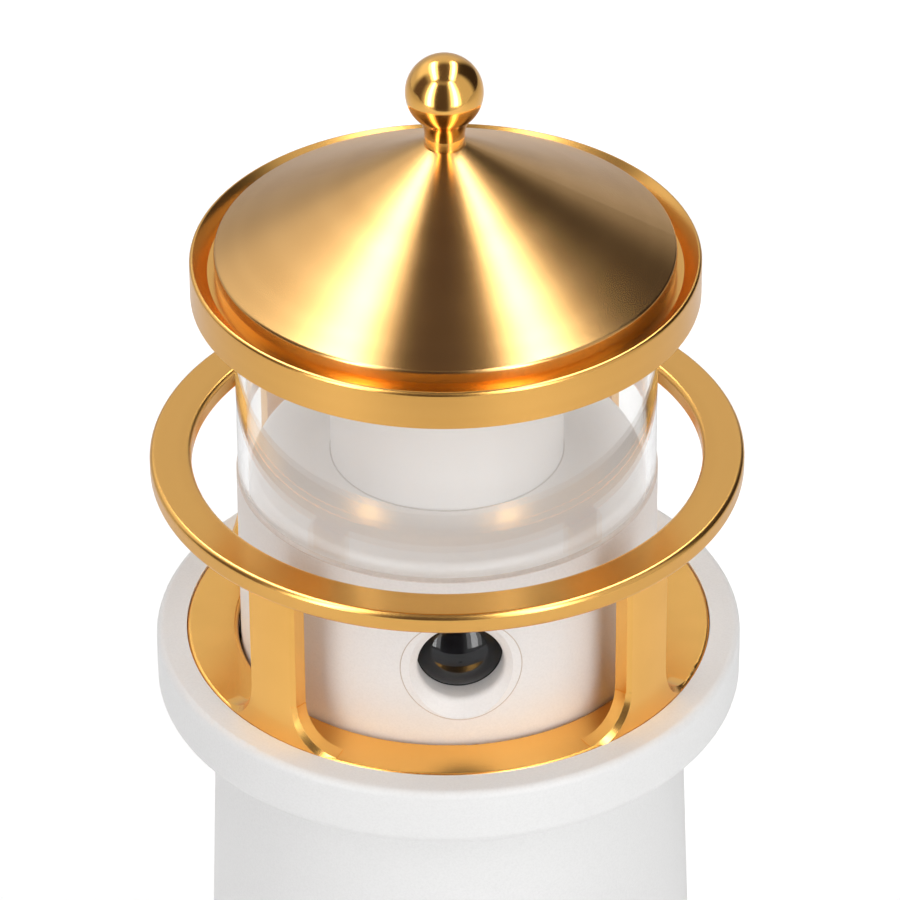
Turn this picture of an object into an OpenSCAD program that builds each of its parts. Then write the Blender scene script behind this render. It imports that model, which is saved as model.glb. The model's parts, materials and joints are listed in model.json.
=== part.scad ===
// Lighthouse lamp for a table: a white tower carries a gallery with a gold cage and rail.
// Inside the cage a projector drum turns on the tower, and the glass lantern stands on the drum.
// The gold roof over the lantern turns and presses as the dimmer of the lantern light.
// Units are millimetres, +Z is up, the lens looks along -Y and the lamp stands on Z = 0.

/* [Tower] */
// Height from the table to the underside of the gallery
tower_h = 114; // [112:0.5:125]
// Outer radius at the foot of the tower
tower_foot_r = 52.3; // [51.8:0.1:54]
// Outer radius just under the gallery
tower_neck_r = 48.1; // [47.9:0.1:49.5]
// Wall of the tower shell
tower_wall = 2.5; // [2:0.1:2.8]
// Thickness of the plate that closes the foot
base_plate_t = 3; // [2.6:0.1:4]
// Width of the rubber foot ring
foot_ring_w = 4; // [3:0.1:5]
// Thickness of the rubber foot ring
foot_ring_t = 2; // [1.6:0.1:2.6]
// Height of the foot ring that stands out of the plate
foot_proud = 1; // [0.6:0.1:1.4]
// Width of the steel ballast ring
ballast_w = 25; // [20:0.5:28]
// Thickness of the ballast ring
ballast_t = 8; // [6:0.5:10]

/* [Gallery] */
// Width of the white deck outside the gold cage
deck_rim_w = 6.3; // [4.5:0.1:9]
// Thickness of the deck at its edge
deck_t = 13; // [12:0.1:15]
// Thickness of the floor inside the deck
deck_floor_t = 3; // [2.5:0.1:4]
// Rounding of the deck's upper edge
deck_top_edge = 1.5; // [0.5:0.1:2.5]
// Rounding of the deck's lower edge
deck_low_edge = 2.5; // [1:0.1:4]
// Width of the cage's foot ring
cage_ring_w = 10.5; // [9:0.1:12]
// Radial thickness of the cage's pillars
cage_wall = 4; // [3:0.1:5]
// Thickness of the cage's foot ring
cage_ring_t = 3; // [2:0.1:4]
// Width of a pillar as an angle about the tower's axis
pillar_angle = 13; // [9:0.5:18]
// Height of the pillars above the deck
pillar_h = 38.6; // [34:0.1:38.6]
// Fillet between a pillar and the foot ring
corner_r = 9; // [5:0.5:12]
// Chamfer of the pillars' outer edges
pillar_edge = 0.8; // [0.3:0.1:1.2]
// Width of the rail's flat top
rail_w = 8.4; // [7:0.1:10]
// Width of the rail that rests on the pillars
rail_seat_w = 2.1; // [1.8:0.1:4]
// Thickness of the rail
rail_t = 4.4; // [3.5:0.1:5]
// Rounding of the rail's edges
rail_edge = 1.1; // [0.4:0.1:1.6]

/* [Projector drum] */
// Outer radius of the white drum
drum_r = 42.6; // [42:0.1:43.5]
// Wall of the drum
drum_wall = 2.4; // [2.2:0.1:3]
// Thickness of the drum's floor
drum_floor_t = 2; // [1.6:0.1:3]
// Gap between the drum and the cage's foot ring
drum_gap = 0.6; // [0.4:0.1:1]
// Clearance between the drum and the floor of its well
drum_lift = 3.1; // [2.8:0.1:4]
// Height of the drum's rim above the deck
drum_over_deck = 38.7; // [37:0.1:42]
// Height of the lens axis above the deck
lens_over_deck = 17.5; // [16:0.1:20]
// Radius of the lens bezel
bezel_r = 12.1; // [11.6:0.1:13]
// Length of the bezel from the drum's front inwards
bezel_l = 9.6; // [9.2:0.1:11]
// Depth of the bezel's dish
dish_depth = 2.5; // [1.8:0.1:3]
// Rounding between the dish and the opening
dish_edge = 1.6; // [0.4:0.1:2]
// Radius of the opening in front of the lens
lens_bore_r = 8.6; // [8:0.1:9]
// Depth at which the lens seats in the bezel
lens_seat = 6.7; // [6.2:0.1:7.4]
// Edge thickness of the lens
lens_edge_t = 1.8; // [1.4:0.1:2.2]
// Height of the lens's dome
lens_sag = 3.6; // [2.5:0.1:4]
// Outer radius of the lens barrel
barrel_r = 11; // [10.6:0.1:12]
// Length of the lens barrel behind the bezel
barrel_l = 21; // [18:0.5:23]

/* [Lantern] */
// Step between the drum's rim and the glass
glass_step = 0.3; // [0.1:0.1:0.6]
// Wall of the glass
glass_wall = 2; // [1.6:0.1:2.1]
// Height of glass that shows between the drum and the roof
glass_show = 41.7; // [38:0.1:46]
// Height of glass that stands inside the roof
glass_hidden = 3.6; // [2.5:0.1:3.8]
// Outer radius of the white column in the lantern
column_r = 23.5; // [22:0.1:25]
// Wall of the column
column_wall = 2.2; // [1.8:0.1:2.8]
// Height of the lantern floor above the drum's rim
floor_rise = 2.9; // [2.4:0.1:3.6]
// Rise of the cove from the floor to the column
cove_h = 1.8; // [0.8:0.1:2.4]
// Radius of the dimmer's shaft
shaft_r = 3; // [2.8:0.1:3.2]

/* [Roof] */
// Width of the rim around the glass
rim_w = 7.4; // [6.2:0.1:9]
// Height of the rim
rim_h = 8; // [7.4:0.1:9]
// Depth of the groove between the rim's lip and the cone
groove_depth = 2.8; // [1.8:0.1:3]
// Step between the rim's outside and the edge of the cone
cone_step = 4.9; // [4:0.1:5.3]
// Height of the cone
cone_h = 23.7; // [21:0.1:28]
// Rounding of the cone's edge
cone_edge = 0.8; // [0.3:0.1:1.2]
// Radius at which the cone is cut off under the finial
cone_top_r = 4.2; // [4.1:0.1:5.4]
// Height of the cone's edge above the rim
cone_lift = 1.7; // [0.8:0.1:2.4]
// Wall of the cone
cone_wall = 2; // [1.6:0.1:2.6]
// Radius of the ball on the roof
ball_r = 7.7; // [7:0.1:8.4]
// Radius of the finial's waist
waist_r = 4; // [3.4:0.1:4.5]
// Height of the finial
finial_h = 19.2; // [18.5:0.1:22]
// Travel of the roof when it is pressed
press_travel = 1; // [0.5:0.1:1]

/* [Turntable] */
// Teeth of the drum's gear
gear_teeth = 75; // [75:1:75]
// Teeth of the motor's pinion
pinion_teeth = 15; // [15:1:15]
// Width of the drum gear's teeth
gear_t = 5; // [4:0.1:5.5]
// Outer radius of the turntable hub
hub_r = 14; // [13.5:0.1:14.5]
// Bore radius of the hub
hub_bore_r = 10; // [9.6:0.1:10.6]
// Radius of the geared motor's housing
motor_r = 14; // [13:0.1:14]
// Height of the motor's housing
motor_h = 19; // [16:0.5:22]

/* [Tower back] */
// Radius of the power button
button_r = 4.5; // [3.5:0.1:5]
// Travel of the power button
button_travel = 0.6; // [0.3:0.1:0.7]
// Height of the power button above the table
button_z = 34; // [32:0.5:36]
// Height of the charging socket above the table
socket_z = 20; // [18:0.5:22]

/* [Hidden] */
$fn = 96;

// Colours
white_abs = [0.93, 0.93, 0.92];
gold = [0.84, 0.62, 0.31];
clear_glass = [0.85, 0.92, 0.95, 0.35];
black_plastic = [0.08, 0.08, 0.09];
steel = [0.62, 0.63, 0.65];
aluminium = [0.78, 0.79, 0.80];
rubber = [0.16, 0.16, 0.17];
board_green = [0.10, 0.36, 0.22];
acetal = [0.88, 0.87, 0.82];
cell_blue = [0.20, 0.36, 0.62];

// Clearance between two fixed pieces, clearance of a turning or sliding fit, overrun of a cut
seat = 0.1;
run = 0.08;
over = 1;

// Screws: shank, hole in the piece that is held, core hole, head, boss, thickness of a boss's rib
screw_r = 1.4;
screw_hole_r = 1.6;
core_hole_r = 1.5;
head_r = 2.7;
head_h = 1.8;
head_gap = 0.3;
boss_r = 3.5;
rib_t = 2;
screw_base = 1;

// Heights of the foot and the gallery, and the depth of the drum's well
plate_z0 = foot_proud;
plate_z1 = foot_proud + base_plate_t;
deck_z0 = tower_h;
deck_z1 = tower_h + deck_t;
well_depth = 8;
well_floor_z = deck_z1 - well_depth;
web_z0 = well_floor_z - deck_floor_t;
rail_z0 = deck_z1 + pillar_h;

// Foot of the tower
plate_r = tower_r(plate_z1) - tower_wall - seat;
foot_margin = 1;
foot_out_r = plate_r - foot_margin;
foot_in_r = foot_out_r - foot_ring_w;
base_screw_ring = foot_in_r - boss_r - 1.5 * foot_margin;
foot_chamfer = 0.6;
ballast_gap = 3;
ballast_r = base_screw_ring - boss_r - ballast_gap;
base_boss_h = 10;
base_screw_angles = [45, 135, 225, 315];

// Joint of the deck and the tower
spigot_r = tower_neck_r - tower_wall - seat;
spigot_wall = 2.2;
spigot_h = 7;
deck_screw_ring = spigot_r - spigot_wall - boss_r - 0.2;
deck_screw_angles = [75, 180, 285];
deck_boss_z = deck_z0 - spigot_h - 1.2;
deck_screw_bite = 8;
tower_boss_h = 12;

// Well of the drum in the deck, and the rings around it
well_r = drum_r + drum_gap;
cage_r = well_r + cage_ring_w;
deck_r = cage_r + deck_rim_w;
rail_r = cage_r - rail_seat_w + rail_w;
drum_z0 = well_floor_z + drum_lift;
drum_z1 = deck_z1 + drum_over_deck;
drum_in_r = drum_r - drum_wall;

// Rounding of the cage's foot ring, how deep the pillars root in it, the fillets' radius
// as a share of the wall's mid radius, the least thickness of a fillet's toe, and how far the
// chamfer's cutter reaches into the window
cage_edge = 0.8;
cage_root = cage_edge + 0.2;
corner_k = corner_r / (cage_r - cage_wall / 2);
fillet_toe = 0.1;
chamfer_bite = 0.3;

// Turntable: the hub runs in a bush, the gear's boss keeps it from lifting
hub_screw_ring = hub_r + 4;
hub_flange_r = hub_screw_ring + 4;
hub_flange_t = 2;
hub_flange_z = drum_z0 - hub_flange_t;
bush_r = hub_r + 3;
bush_lip_r = bush_r + 3;
hub_step_r = hub_r - 1.5;
gear_boss_r = hub_r + 3;
gear_boss_h = 4.4;
gear_boss_z1 = web_z0 - seat;
gear_z1 = gear_boss_z1 - gear_boss_h;
gear_z0 = gear_z1 - gear_t;
gear_rim_w = 4;
gear_dish = gear_t / 2 - 1;
clip_r = hub_r + 2.5;
clip_t = 1.2;
clip_z0 = gear_z0 - seat - clip_t;
hub_z0 = clip_z0 - 1;

// Drive: the pinion stands beside the gear on the motor's offset shaft, and the two fill the
// space inside the deck's spigot
pressure_angle = 20;
pinion_gap = 0.4;
mesh_play = 0.1;
tooth_play = 0.1;
drive_space = spigot_r - spigot_wall - pinion_gap - mesh_play;
tooth_module = drive_space / (gear_teeth / 2 + pinion_teeth + 1);
gear_pitch_r = tooth_module * gear_teeth / 2;
pinion_pitch_r = tooth_module * pinion_teeth / 2;
pinion_x = gear_pitch_r + pinion_pitch_r + mesh_play;
motor_shaft_offset = 8;
motor_x = pinion_x - motor_shaft_offset;
motor_shaft_r = 2.5;
bracket_t = 1.5;
bracket_z1 = hub_z0 - 1;
bracket_z0 = bracket_z1 - bracket_t;
motor_z0 = bracket_z0 - motor_h;
motor_shaft_in = 7;
motor_nose_r = 4.5;
motor_ear_r = 3.5;
motor_ear_y = motor_r + motor_ear_r;
motor_ear_t = 1;
bracket_post = [motor_x - 3, motor_ear_y + 9.5];
post_r = 3;
bracket_edge = 4;
bracket_arm_w = 18;
bracket_bite = 8;

// Slip ring that feeds the turning head
slip_core_r = 3;
slip_housing_r = 6.2;
slip_flange_t = 2;
slip_z0 = hub_z0 + 1;
slip_z1 = drum_z0 - 3;
slip_core_z0 = bracket_z0 - 6;

// Electronics in the tower
ballast_z1 = plate_z1 + ballast_t;
cell_r = 9.25;
cell_l = 65;
cell_nub_r = 3;
cell_nub_h = 1.2;
cell_x = -20;
cell_y = -6;
holder_wall = 1.4;
holder_floor = 2;
holder_h = 40;
holder_sill = 6;
holder_w = 2 * (cell_r + seat + holder_wall);
cell_z0 = ballast_z1 + holder_floor;
board_t = 1.6;
board_w = 34;
board_post_w = 5;
board_post_wall = 1.8;
board_post_h = 8;
board_z0 = plate_z1 + 2;
board_z1 = button_z + 10;
socket_l = 7.3;
socket_w = 8.94;
socket_h = 3.26;
socket_recess = 0.7;
socket_play = 0.35;
socket_wall = 0.4;
tongue_t = 0.7;
tongue_side = 1.4;
tongue_gap = 0.9;
board_back_y = tower_r(socket_z) - socket_recess - socket_l;
board_front_y = board_back_y - board_t;
switch_w = 6;
switch_body_t = 1.8;
switch_tip_r = 1.7;
switch_tip = 0.6;
switch_gap = 0.1;
button_flange_r = button_r + 1.1;
button_proud = 1;
button_edge = 0.5;
button_stop = 0.3;
button_in_y = board_back_y + switch_body_t + switch_tip + switch_gap + button_travel;
button_wall_y = sqrt(pow(tower_r(button_z + button_flange_r) - tower_wall, 2) - pow(button_flange_r, 2));
button_out_y = tower_r(button_z) + button_proud;

// Lens axis and the pieces along it; depths count from the drum's front
lens_z = deck_z1 + lens_over_deck;
lens_r = lens_bore_r + 0.8;
lens_dome_r = lens_bore_r - 0.2;
dome_sphere_r = (lens_dome_r * lens_dome_r + lens_sag * lens_sag) / (2 * lens_sag);
bezel_flange_r = bezel_r + 1.8;
bezel_flange_y = sqrt(drum_in_r * drum_in_r - bezel_flange_r * bezel_flange_r) - seat;
bezel_flange_t = 1.5;
dish_lip = 0.15;
dish_lip_w = 0.3;
barrel_bore_r = lens_bore_r;
barrel_front = bezel_l + seat;
barrel_back = barrel_front + barrel_l;
slide_t = 0.8;
slide_at = barrel_front + 6;
slide_ring_t = 1.5;
slide_ring_w = 1.6;
glass_edge = seat / 2;
condenser_t = 6.9;
condenser_gap = 5;
condenser_mid = slide_at + slide_t + slide_ring_t + condenser_gap;
condenser_sphere_r = 14;
led_board_t = 1.6;
led_r = 2.4;
led_base_w = 6;
led_base_t = 0.8;
sink_base_t = 3;
sink_fin_w = 9.9;
sink_edge = 1;
sink_fin_l = 13;
sink_fins = 6;
sink_fin_t = 1.2;
cradle_front = 3;
cradle_l = 12;
cradle_w = 18;

// Lantern
glass_r = drum_r - glass_step;
glass_z0 = drum_z1;
glass_z1 = glass_z0 + glass_show + glass_hidden;
glass_in_r = glass_r - glass_wall;
floor_r = min(drum_in_r, glass_in_r) - seat;
floor_edge = 1.6;
floor_top_z = drum_z1 + floor_rise;
ledge_drop = 2.5;
ledge_z1 = drum_z1 - ledge_drop;
ledge_t = 2.2;
ledge_w = 2.2;
floor_hole_r = 8;
cove_r = 7;
cove_w = sqrt(pow(cove_r, 2) - pow(cove_r - cove_h, 2));
column_socket = 2;
column_z0 = floor_top_z + cove_h - column_socket;
column_in_r = column_r - column_wall;
roof_z0 = glass_z0 + glass_show;
column_in_roof = 1.4;
column_z1 = roof_z0 + column_in_roof;

// Dimmer in the head of the column
cap_t = 2.5;
cap_drop = 11;
cap_z1 = column_z1 - cap_drop;
cap_z0 = cap_z1 - cap_t;
cap_ledge_t = 2;
dimmer_w = 13;
dimmer_h = 9;
dimmer_z0 = cap_z0 - dimmer_h;
dimmer_neck_r = shaft_r + 1.6;
dimmer_neck_h = 2.2;
dimmer_bottom = 1.4;
plunger_r = shaft_r + 1;
plunger_t = 1.8;
plunger_z0 = dimmer_z0 + dimmer_bottom + press_travel;
shaft_z0 = plunger_z0 + plunger_t;
led_post_h = 14;
led_ring_z0 = column_z0 + led_post_h;
led_ring_t = 1.6;
led_ring_gap = 5;
led_ring_r = column_in_r - led_ring_gap;
led_count = 12;
led_size = 2.4;
led_h = 0.8;
post_foot_r = 10;
post_foot_t = 2;
post_tube_r = 4.5;
post_tube_bore_r = 3;

// Roof
rim_z1 = roof_z0 + rim_h;
roof_gap = 1;
roof_stop = 0.4;
rim_in_r = glass_r + roof_gap;
roof_r = rim_in_r + rim_w;
cone_r = roof_r - cone_step;
rim_web_z0 = glass_z1 + press_travel + roof_stop;
cone_sunk = 0.8;
cone_seat_z = rim_z1 - cone_sunk;
rim_web_hole_r = 20;
cone_edge_z = rim_z1 + cone_lift;
cone_top_z = cone_edge_z + cone_h;
lip_w = 0.7;
groove_in = 0.2;
roof_hub_r = 26;
roof_hub_t = 2;
roof_hub_z0 = rim_web_z0 - roof_hub_t;
roof_boss_r = 7;
roof_boss_z0 = cap_z1 + dimmer_neck_h + press_travel + roof_stop + seat;
shaft_skin = 0.4;
shaft_z1 = rim_web_z0 - shaft_skin - seat;
ball_z = cone_top_z + finial_h - ball_r;
waist_foot_h = 2.1;
waist_z = cone_top_z + waist_foot_h;
waist_fillet_r = (pow(waist_r, 2) + pow(ball_z - waist_z, 2) - pow(ball_r, 2)) / (2 * (ball_r - waist_r));
stud_r = 2;
stud_l = 6;
stud_end = 0.5;
stud_boss_r = 5;

// Outer radius of the tower at a height
function tower_r(z) = tower_foot_r - (tower_foot_r - tower_neck_r) * z / tower_h;

// Involute of a circle, in degrees, at a pressure angle
function involute(a) = tan(a) * 180 / PI - a;

// Half the angle that a tooth takes up at radius r
function half_tooth(r, pitch_r, teeth, play) = let (base_r = pitch_r * cos(pressure_angle))
    90 / teeth - play / pitch_r * 90 / PI + involute(pressure_angle)
        - involute(acos(base_r / max(r, base_r)));

// Outline of a spur gear with a tooth centred on +X
module gear_outline(teeth, play) {
    pitch_r = tooth_module * teeth / 2;
    tip_r = pitch_r + tooth_module;
    root_r = pitch_r - 1.25 * tooth_module;
    flank_r = max(root_r, pitch_r * cos(pressure_angle));
    radii = [root_r, flank_r + 0.01, pitch_r, tip_r];
    rise = [for (r = radii) [r, -half_tooth(r, pitch_r, teeth, play)]];
    fall = [for (i = [len(radii) - 1 : -1 : 0]) [radii[i], half_tooth(radii[i], pitch_r, teeth, play)]];
    flanks = concat(rise, fall);
    polygon([for (i = [0 : teeth - 1]) for (p = flanks)
        [p[0] * cos(360 * i / teeth + p[1]), p[0] * sin(360 * i / teeth + p[1])]]);
}

// Tube between two radii and two heights
module tube(r_in, r_out, z0, z1) {
    rotate_extrude()
        translate([r_in, z0])
            square([r_out - r_in, z1 - z0]);
}

// Ring whose four edges are rounded alike
module rounded_ring(r_in, r_out, z0, z1, edge) {
    rotate_extrude()
        union() {
            translate([r_in + edge, z0]) square([r_out - r_in - 2 * edge, z1 - z0]);
            translate([r_in, z0 + edge]) square([r_out - r_in, z1 - z0 - 2 * edge]);
            for (r = [r_in + edge, r_out - edge], z = [z0 + edge, z1 - edge])
                translate([r, z]) circle(edge);
        }
}

// Straight round hole or pin between two heights
module rod(r, z0, z1) {
    translate([0, 0, z0]) cylinder(r = r, h = z1 - z0);
}

// Puts a piece on the lens axis: its local +Z runs from the drum's front to the middle
module on_lens_axis() {
    translate([0, -drum_r, lens_z]) rotate([-90, 0, 0]) children();
}

// Pan-head screw along Z with its head above z
module screw(z, length) {
    rod(screw_r, z - length, z + 0.01);
    rod(head_r, z, z + head_h);
}

// Places a child at each angle on a ring
module around(ring_r, angles) {
    for (a = angles) rotate([0, 0, a]) translate([ring_r, 0, 0]) children();
}

// Tower and what stands in it

module tower_shell() {
    color(white_abs)
        difference() {
            union() {
                rotate_extrude()
                    polygon([
                        [tower_r(plate_z0) - tower_wall, plate_z0],
                        [tower_r(plate_z0) - foot_chamfer, plate_z0],
                        [tower_r(plate_z0 + foot_chamfer), plate_z0 + foot_chamfer],
                        [tower_neck_r, tower_h],
                        [tower_neck_r - tower_wall, tower_h],
                    ]);
                around(base_screw_ring, base_screw_angles) {
                    rod(boss_r, plate_z1, plate_z1 + base_boss_h);
                    translate([0, -rib_t / 2, plate_z1])
                        cube([tower_r(plate_z1) - tower_wall / 2 - base_screw_ring, rib_t, base_boss_h]);
                }
                around(deck_screw_ring, deck_screw_angles) {
                    rod(boss_r, deck_boss_z - tower_boss_h, deck_boss_z);
                    translate([0, -rib_t / 2, deck_boss_z - tower_boss_h])
                        cube([tower_neck_r - tower_wall / 2 - deck_screw_ring, rib_t, tower_boss_h]);
                }
            }
            around(base_screw_ring, base_screw_angles)
                rod(core_hole_r, plate_z1 - over, plate_z1 + base_boss_h - screw_base);
            around(deck_screw_ring, deck_screw_angles)
                rod(core_hole_r, deck_boss_z - tower_boss_h + screw_base, deck_boss_z + over);
            translate([0, 0, button_z]) rotate([-90, 0, 0])
                cylinder(r = button_r + run, h = tower_foot_r + over);
            socket_shell(socket_w + 2 * socket_play, socket_h + 2 * socket_play, 1, socket_l + 3);
        }
}

module base_plate() {
    color(white_abs)
        difference() {
            union() {
                rod(plate_r, plate_z0, plate_z1);
                for (x = [-1, 1])
                    translate([(x * board_w - board_post_w) / 2, board_front_y - board_post_wall, plate_z1 - 1])
                        cube([board_post_w, board_t + 2 * board_post_wall, board_post_h + 1]);
            }
            tube(foot_in_r - seat, foot_out_r + seat, plate_z0 - over, plate_z0 + foot_ring_t - foot_proud);
            around(base_screw_ring, base_screw_angles) {
                rod(screw_hole_r, plate_z0 - over, plate_z1 + over);
                rod(head_r + head_gap, plate_z0 - over, plate_z1 - screw_base);
            }
            translate([-board_w / 2 - seat, board_front_y - seat, board_z0 - seat])
                cube([board_w + 2 * seat, board_t + 2 * seat, board_z1]);
        }
}

module foot_ring() {
    color(rubber) tube(foot_in_r, foot_out_r, 0, foot_ring_t);
}

module ballast_ring() {
    color(steel) rounded_ring(ballast_r - ballast_w, ballast_r, plate_z1, ballast_z1, 0.8);
}

module base_screws() {
    color(steel)
        around(base_screw_ring, base_screw_angles)
            translate([0, 0, plate_z1 - screw_base]) mirror([0, 0, 1]) screw(0, base_boss_h - 2 * screw_base);
}

module battery_holder() {
    color(black_plastic)
        translate([cell_x, cell_y, ballast_z1])
            difference() {
                translate([-holder_w / 2, -holder_w / 2, 0]) cube([holder_w, holder_w, holder_h]);
                rod(cell_r + seat, holder_floor, holder_h + over);
                translate([-holder_w, -cell_r / 2, holder_floor + holder_sill])
                    cube([holder_w, cell_r, holder_h]);
            }
}

module battery_cell() {
    color(cell_blue)
        translate([cell_x, cell_y, cell_z0]) {
            rod(cell_r, 0, cell_l - cell_nub_h);
            rod(cell_nub_r, cell_l - 2 * cell_nub_h, cell_l);
        }
}

module main_board() {
    color(board_green)
        translate([-board_w / 2, board_front_y, board_z0]) cube([board_w, board_t, board_z1 - board_z0]);
}

module charging_socket() {
    color(steel)
        difference() {
            socket_shell(socket_w, socket_h, 0, socket_l);
            socket_shell(socket_w - 2 * socket_wall, socket_h - 2 * socket_wall, 1, socket_l + over);
        }
    color(black_plastic)
        translate([-socket_w / 2 + tongue_side, board_back_y + tongue_gap, socket_z - tongue_t / 2])
            cube([socket_w - 2 * tongue_side, socket_l - 2 * tongue_gap, tongue_t]);
}

// Oval bar of the socket's width and height, from y0 to y1 behind the board
module socket_shell(w, h, y0, y1) {
    translate([0, board_back_y + y0, socket_z]) rotate([-90, 0, 0]) {
        for (x = [-1, 1]) translate([x * (w - h) / 2, 0, 0]) cylinder(d = h, h = y1 - y0);
        translate([-(w - h) / 2, -h / 2, 0]) cube([w - h, h, y1 - y0]);
    }
}

module button_switch() {
    color(black_plastic)
        translate([0, board_back_y, button_z]) {
            translate([-switch_w / 2, 0, -switch_w / 2]) cube([switch_w, switch_body_t, switch_w]);
            rotate([-90, 0, 0]) cylinder(r = switch_tip_r, h = switch_body_t + switch_tip);
        }
}

module power_button() {
    color(white_abs)
        translate([0, 0, button_z]) rotate([-90, 0, 0]) {
            rod(button_flange_r, button_in_y, button_wall_y - button_stop);
            rod(button_r, button_in_y, button_out_y - button_edge);
            translate([0, 0, button_out_y - button_edge])
                cylinder(r1 = button_r, r2 = button_r - button_edge, h = button_edge);
        }
}

// Gallery

module gallery_deck() {
    color(white_abs)
        difference() {
            union() {
                rotate_extrude()
                    union() {
                        translate([well_r, deck_z0])
                            square([deck_r - deck_low_edge - well_r, deck_t - cage_ring_t]);
                        translate([well_r, deck_z0 + deck_low_edge])
                            square([deck_r - well_r, deck_t - cage_ring_t - deck_low_edge]);
                        translate([cage_r + seat, deck_z0 + deck_low_edge])
                            square([deck_r - cage_r - seat, deck_t - deck_low_edge - deck_top_edge]);
                        translate([cage_r + seat, deck_z0 + deck_low_edge])
                            square([deck_r - cage_r - seat - deck_top_edge, deck_t - deck_low_edge]);
                        translate([deck_r - deck_low_edge, deck_z0 + deck_low_edge]) circle(deck_low_edge);
                        translate([deck_r - deck_top_edge, deck_z1 - deck_top_edge]) circle(deck_top_edge);
                        translate([bush_r, web_z0]) square([well_r - bush_r + over, deck_floor_t]);
                        translate([spigot_r - spigot_wall, deck_z0 - spigot_h])
                            square([spigot_wall, spigot_h + web_z0 - deck_z0 + deck_floor_t / 2]);
                    }
                around(deck_screw_ring, deck_screw_angles) rod(boss_r, deck_boss_z + seat, web_z0 + over);
                on_bracket_posts() rod(post_r, bracket_z1, web_z0 + over);
            }
            around(deck_screw_ring, deck_screw_angles) {
                rod(screw_hole_r, deck_boss_z - over, deck_z1);
                rod(head_r + head_gap, well_floor_z, deck_z1);
            }
            on_bracket_posts() rod(core_hole_r, bracket_z1 - over, web_z0);
        }
}

module deck_screws() {
    color(steel)
        around(deck_screw_ring, deck_screw_angles)
            screw(well_floor_z, well_floor_z - deck_boss_z + deck_screw_bite);
}

// Cuts a window's side and its filleted lower corner out of the wall beside a pillar. The pillar's
// side and the ring's top both run through the tower's axis, so a cone with its tip on the axis
// touches both, and the fillet keeps its shape across the wall. A wider cone and a slanted cube
// chamfer the outer edge, from the ring round the fillet and up the pillar.
module window_side() {
    k = corner_k;
    half = asin(k / sqrt(1 + 2 * k * k));
    reach = 1.3 * cage_r;
    aim = atan(k) / 2;
    arc_z = deck_z1 + k * cage_r;
    arc_r = cage_r * sin(2 * aim);
    rotate([0, 0, pillar_angle / 2]) {
        rotate([0, 0, 2 * aim])
            translate([cage_r, 0, arc_z])
                rotate([0, 90, -aim])
                    translate([0, 0, -pillar_edge - chamfer_bite])
                        cylinder(r1 = arc_r - chamfer_bite, r2 = arc_r + cage_wall, h = cage_wall + chamfer_bite);
        translate([cage_r - pillar_edge, 0, arc_z])
            rotate([0, 0, -45])
                translate([-cage_wall, 0, 0])
                    cube([2 * cage_wall, cage_wall, pillar_h]);
        translate([0, fillet_toe, deck_z1 + fillet_toe])
            rotate([0, 90 - atan(k / sqrt(1 + k * k)), atan(k)])
                cylinder(r1 = 0, r2 = reach * tan(half), h = reach);
        translate([0, 0, deck_z1])
            rotate([0, -atan(k), 0])
                cube([2 * cage_r, cage_r, 2 * cage_r]);
    }
}

// Pillar with the fillets of its two sides, centred on +X
module pillar() {
    spread = pillar_angle / 2 + atan(corner_k);
    difference() {
        rotate([0, 0, -spread])
            rotate_extrude(angle = 2 * spread)
                translate([cage_r - cage_wall, deck_z1 - cage_root])
                    square([cage_wall, pillar_h + cage_root]);
        window_side();
        mirror([0, 1, 0]) window_side();
    }
}

module gallery_cage() {
    color(gold)
        union() {
            rounded_ring(well_r, cage_r, deck_z1 - cage_ring_t, deck_z1, cage_edge);
            for (i = [0 : 3]) rotate([0, 0, 45 + 90 * i]) pillar();
        }
}

module gallery_rail() {
    color(gold) rounded_ring(rail_r - rail_w, rail_r, rail_z0, rail_z0 + rail_t, rail_edge);
}

// Turntable and its drive

module turntable_bush() {
    color(acetal)
        union() {
            tube(hub_r + run, bush_r - seat, web_z0, well_floor_z + 0.5);
            tube(hub_r + run, bush_lip_r, well_floor_z, hub_flange_z - seat);
        }
}

// Places a child at both posts of the motor's bracket
module on_bracket_posts() {
    for (y = [-1, 1]) translate([bracket_post[0], y * bracket_post[1], 0]) children();
}

// Places a child at both ears of the motor
module on_motor_ears() {
    for (y = [-1, 1]) translate([motor_x, y * motor_ear_y, 0]) children();
}

module drive_motor() {
    color(steel)
        difference() {
            union() {
                translate([motor_x, 0, 0]) rod(motor_r, motor_z0, bracket_z0);
                on_motor_ears() rod(motor_ear_r, bracket_z0 - motor_ear_t, bracket_z0);
                translate([motor_x - motor_ear_r, -motor_ear_y, bracket_z0 - motor_ear_t])
                    cube([2 * motor_ear_r, 2 * motor_ear_y, motor_ear_t]);
                translate([pinion_x, 0, 0]) rod(motor_nose_r, bracket_z0 - 1, bracket_z1);
            }
            on_motor_ears() rod(screw_hole_r, bracket_z0 - motor_ear_t - over, bracket_z0 + over);
            translate([pinion_x, 0, 0])
                rod(motor_shaft_r + run, bracket_z0 - motor_shaft_in - 1, bracket_z1 + over);
        }
}

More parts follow.
